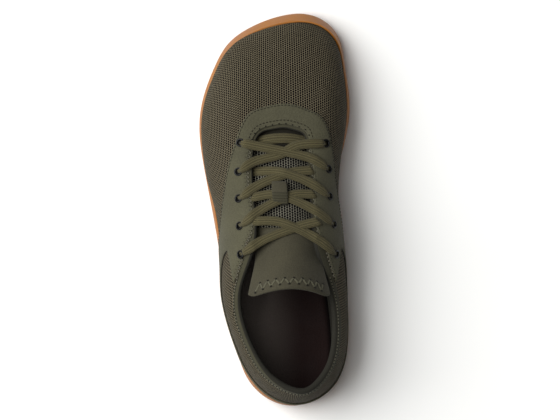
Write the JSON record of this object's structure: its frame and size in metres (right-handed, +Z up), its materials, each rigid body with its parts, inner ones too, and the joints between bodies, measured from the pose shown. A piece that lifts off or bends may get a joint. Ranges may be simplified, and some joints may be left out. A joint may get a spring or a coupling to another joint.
{
  "type": "sneaker",
  "caption": "Low minimalist sneaker with a hollow mesh upper, an overlay eyestay, crossed flat laces, a thin tongue and a gum rubber cup sole",
  "frame": {"origin": "on the floor under the middle of the bounding box", "axes": "+Y from heel to toe, +X to the medial side, +Z up"},
  "size_m": [0.1096, 0.2846, 0.0939],
  "materials": {
    "gum_rubber": "satin",
    "footbed": "matte",
    "olive_mesh": "matte",
    "olive_nubuck": "matte",
    "tongue_cloth": "matte",
    "lace": "matte",
    "eyelet": "gloss"
  },
  "bodies": {
    "root": {"outsole": "gum_rubber", "insole": "footbed", "upper": "olive_mesh", "overlay_band": "olive_nubuck", "tongue": "tongue_cloth", "lace_bar": "lace", "lace_cross_1": "lace", "lace_cross_2": "lace", "lace_cross_3": "lace", "lace_cross_4": "lace", "lace_loop": "lace", "eyelet_lateral_1": "eyelet", "eyelet_lateral_2": "eyelet", "eyelet_lateral_3": "eyelet", "eyelet_lateral_4": "eyelet", "eyelet_lateral_5": "eyelet", "eyelet_medial_1": "eyelet", "eyelet_medial_2": "eyelet", "eyelet_medial_3": "eyelet", "eyelet_medial_4": "eyelet", "eyelet_medial_5": "eyelet"}
  },
  "joints": []
}
